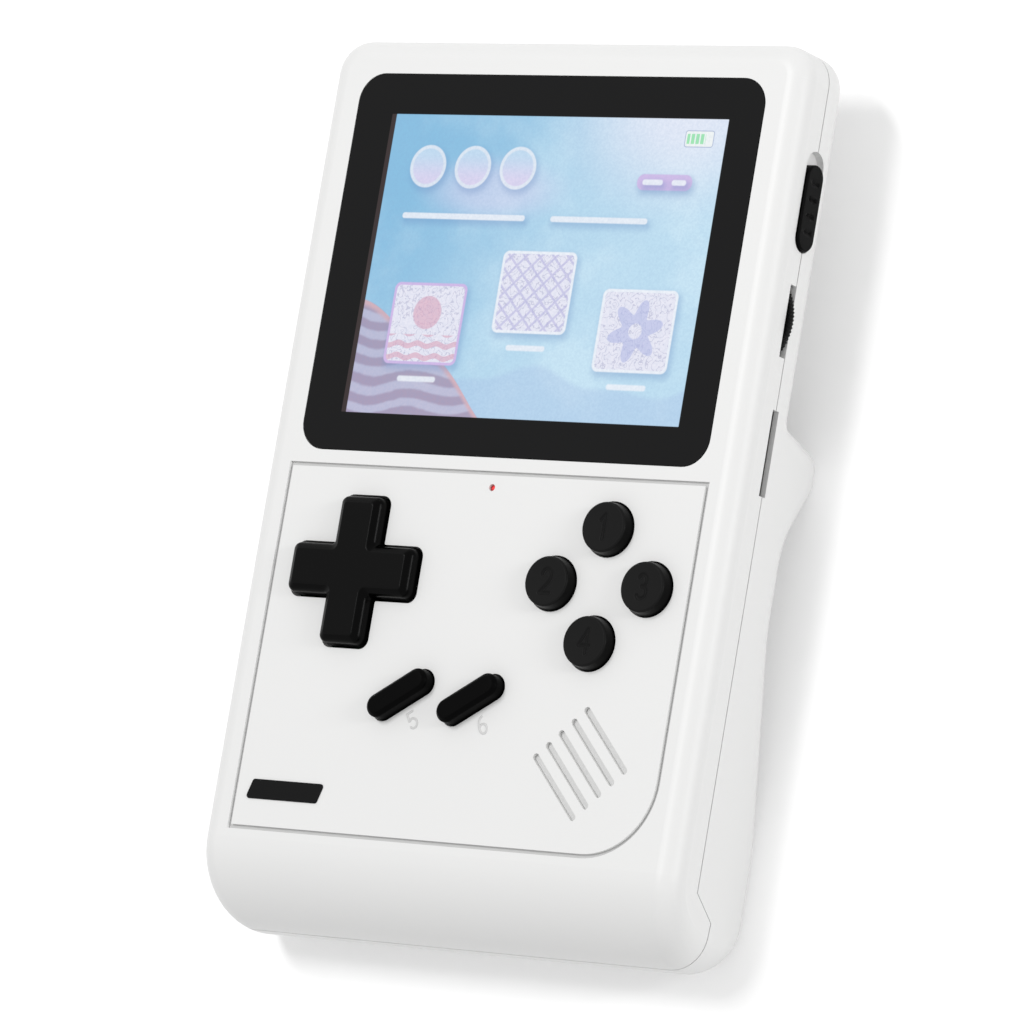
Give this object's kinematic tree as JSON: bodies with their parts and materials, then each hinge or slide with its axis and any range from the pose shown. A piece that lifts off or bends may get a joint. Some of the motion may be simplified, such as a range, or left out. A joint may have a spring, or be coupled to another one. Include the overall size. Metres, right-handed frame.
{
  "type": "handheld game console",
  "caption": "Pocket handheld game console with a screen over a cross pad and four round keys, slanted menu keys, sound slots, side controls and a finger ridge across the back.",
  "frame": {"origin": "on the surface the console lies on, under the middle of its body", "axes": "+X to the right of the screen, +Y towards the top edge, +Z out of the screen"},
  "size_m": [0.0818, 0.128, 0.0222],
  "materials": {
    "front_shell": "satin moulded plastic",
    "back_shell": "satin moulded plastic",
    "screen_lens": "glossy black printed lens with a clear window",
    "lcd_module": "lit display in a thin frame",
    "lcd_flex": "amber film",
    "main_board": "green board",
    "dpad_post": "black plastic",
    "dpad_mat": "grey rubber",
    "keys_mat": "grey rubber",
    "menu_mat": "grey rubber",
    "speaker": "steel frame",
    "led_guide": "red light guide",
    "led_chip": "light on the board",
    "power_switch": "sheet steel case",
    "volume_pot": "black plastic",
    "card_socket": "sheet steel",
    "usb_socket": "sheet steel",
    "audio_jack": "black plastic",
    "left_trigger_board": "green board",
    "left_trigger_switch": "black plastic",
    "right_trigger_board": "green board",
    "right_trigger_switch": "black plastic",
    "battery": "blue film wrap",
    "battery_contacts": "sprung contacts",
    "shell_screws": "dark steel",
    "board_screws": "dark steel",
    "dpad_pivot": "steel ball",
    "dpad": "black satin plastic",
    "button_x": "black plastic",
    "button_y": "black plastic",
    "button_a": "black plastic",
    "button_b": "black plastic",
    "select_button": "black plastic",
    "start_button": "black plastic",
    "left_trigger": "black satin plastic",
    "right_trigger": "black satin plastic",
    "power_slider": "black satin plastic",
    "volume_wheel": "black satin plastic",
    "battery_cover": "satin moulded plastic"
  },
  "bodies": {
    "housing": {"front_shell": "front_shell", "back_shell": "back_shell", "screen_lens": "screen_lens", "lcd_module": "lcd_module", "lcd_flex": "lcd_flex", "main_board": "main_board", "dpad_post": "dpad_post", "dpad_mat": "dpad_mat", "keys_mat": "keys_mat", "menu_mat": "menu_mat", "speaker": "speaker", "led_guide": "led_guide", "led_chip": "led_chip", "power_switch": "power_switch", "volume_pot": "volume_pot", "card_socket": "card_socket", "usb_socket": "usb_socket", "audio_jack": "audio_jack", "left_trigger_board": "left_trigger_board", "left_trigger_switch": "left_trigger_switch", "right_trigger_board": "right_trigger_board", "right_trigger_switch": "right_trigger_switch", "battery": "battery", "battery_contacts": "battery_contacts", "shell_screws": "shell_screws", "board_screws": "board_screws"},
    "pad_rocker": {"dpad_pivot": "dpad_pivot"},
    "pad": {"dpad": "dpad"},
    "key_x": {"button_x": "button_x"},
    "key_y": {"button_y": "button_y"},
    "key_a": {"button_a": "button_a"},
    "key_b": {"button_b": "button_b"},
    "select_key": {"select_button": "select_button"},
    "start_key": {"start_button": "start_button"},
    "left_shoulder": {"left_trigger": "left_trigger"},
    "right_shoulder": {"right_trigger": "right_trigger"},
    "slider": {"power_slider": "power_slider"},
    "wheel": {"volume_wheel": "volume_wheel"},
    "cover": {"battery_cover": "battery_cover"}
  },
  "joints": [
    {"name": "pad_tilt_up_down", "type": "hinge", "parent": "housing", "child": "pad_rocker", "pos_m": [-0.02095, -0.0135, 0.016], "axis": [1, 0, 0], "range_deg": [-3, 3], "stiffness_Nm_per_rad": 0.15, "deforming": ["dpad_mat"]},
    {"name": "pad_tilt_left_right", "type": "hinge", "parent": "pad_rocker", "child": "pad", "pos_m": [-0.02095, -0.0135, 0.016], "axis": [0, 1, 0], "range_deg": [-3, 3], "stiffness_Nm_per_rad": 0.15},
    {"name": "key_x_press", "type": "slide", "parent": "housing", "child": "key_x", "axis": [0, 0, -1], "range_m": [0, 0.0011], "stiffness_N_per_m": 900, "springref_m": -0.0003, "deforming": ["keys_mat"]},
    {"name": "key_y_press", "type": "slide", "parent": "housing", "child": "key_y", "axis": [0, 0, -1], "range_m": [0, 0.0011], "stiffness_N_per_m": 900, "springref_m": -0.0003},
    {"name": "key_a_press", "type": "slide", "parent": "housing", "child": "key_a", "axis": [0, 0, -1], "range_m": [0, 0.0011], "stiffness_N_per_m": 900, "springref_m": -0.0003},
    {"name": "key_b_press", "type": "slide", "parent": "housing", "child": "key_b", "axis": [0, 0, -1], "range_m": [0, 0.0011], "stiffness_N_per_m": 900, "springref_m": -0.0003},
    {"name": "select_press", "type": "slide", "parent": "housing", "child": "select_key", "axis": [0, 0, -1], "range_m": [0, 0.0011], "stiffness_N_per_m": 900, "springref_m": -0.0003, "deforming": ["menu_mat"]},
    {"name": "start_press", "type": "slide", "parent": "housing", "child": "start_key", "axis": [0, 0, -1], "range_m": [0, 0.0011], "stiffness_N_per_m": 900, "springref_m": -0.0003},
    {"name": "left_shoulder_press", "type": "slide", "parent": "housing", "child": "left_shoulder", "axis": [0, -1, 0], "range_m": [0, 0.001], "stiffness_N_per_m": 1200, "springref_m": -0.0003},
    {"name": "right_shoulder_press", "type": "slide", "parent": "housing", "child": "right_shoulder", "axis": [0, -1, 0], "range_m": [0, 0.001], "stiffness_N_per_m": 1200, "springref_m": -0.0003},
    {"name": "power_slide", "type": "slide", "parent": "housing", "child": "slider", "axis": [0, 1, 0], "range_m": [0, 0.0017]},
    {"name": "volume_turn", "type": "hinge", "parent": "housing", "child": "wheel", "pos_m": [0.0333, 0.02585, 0.01445], "axis": [0, 0, 1], "range_deg": [-140, 140]},
    {"name": "cover_hinge", "type": "hinge", "parent": "housing", "child": "cover", "pos_m": [0, -0.057, 0], "axis": [-1, 0, 0], "range_deg": [0, 60]}
  ]
}
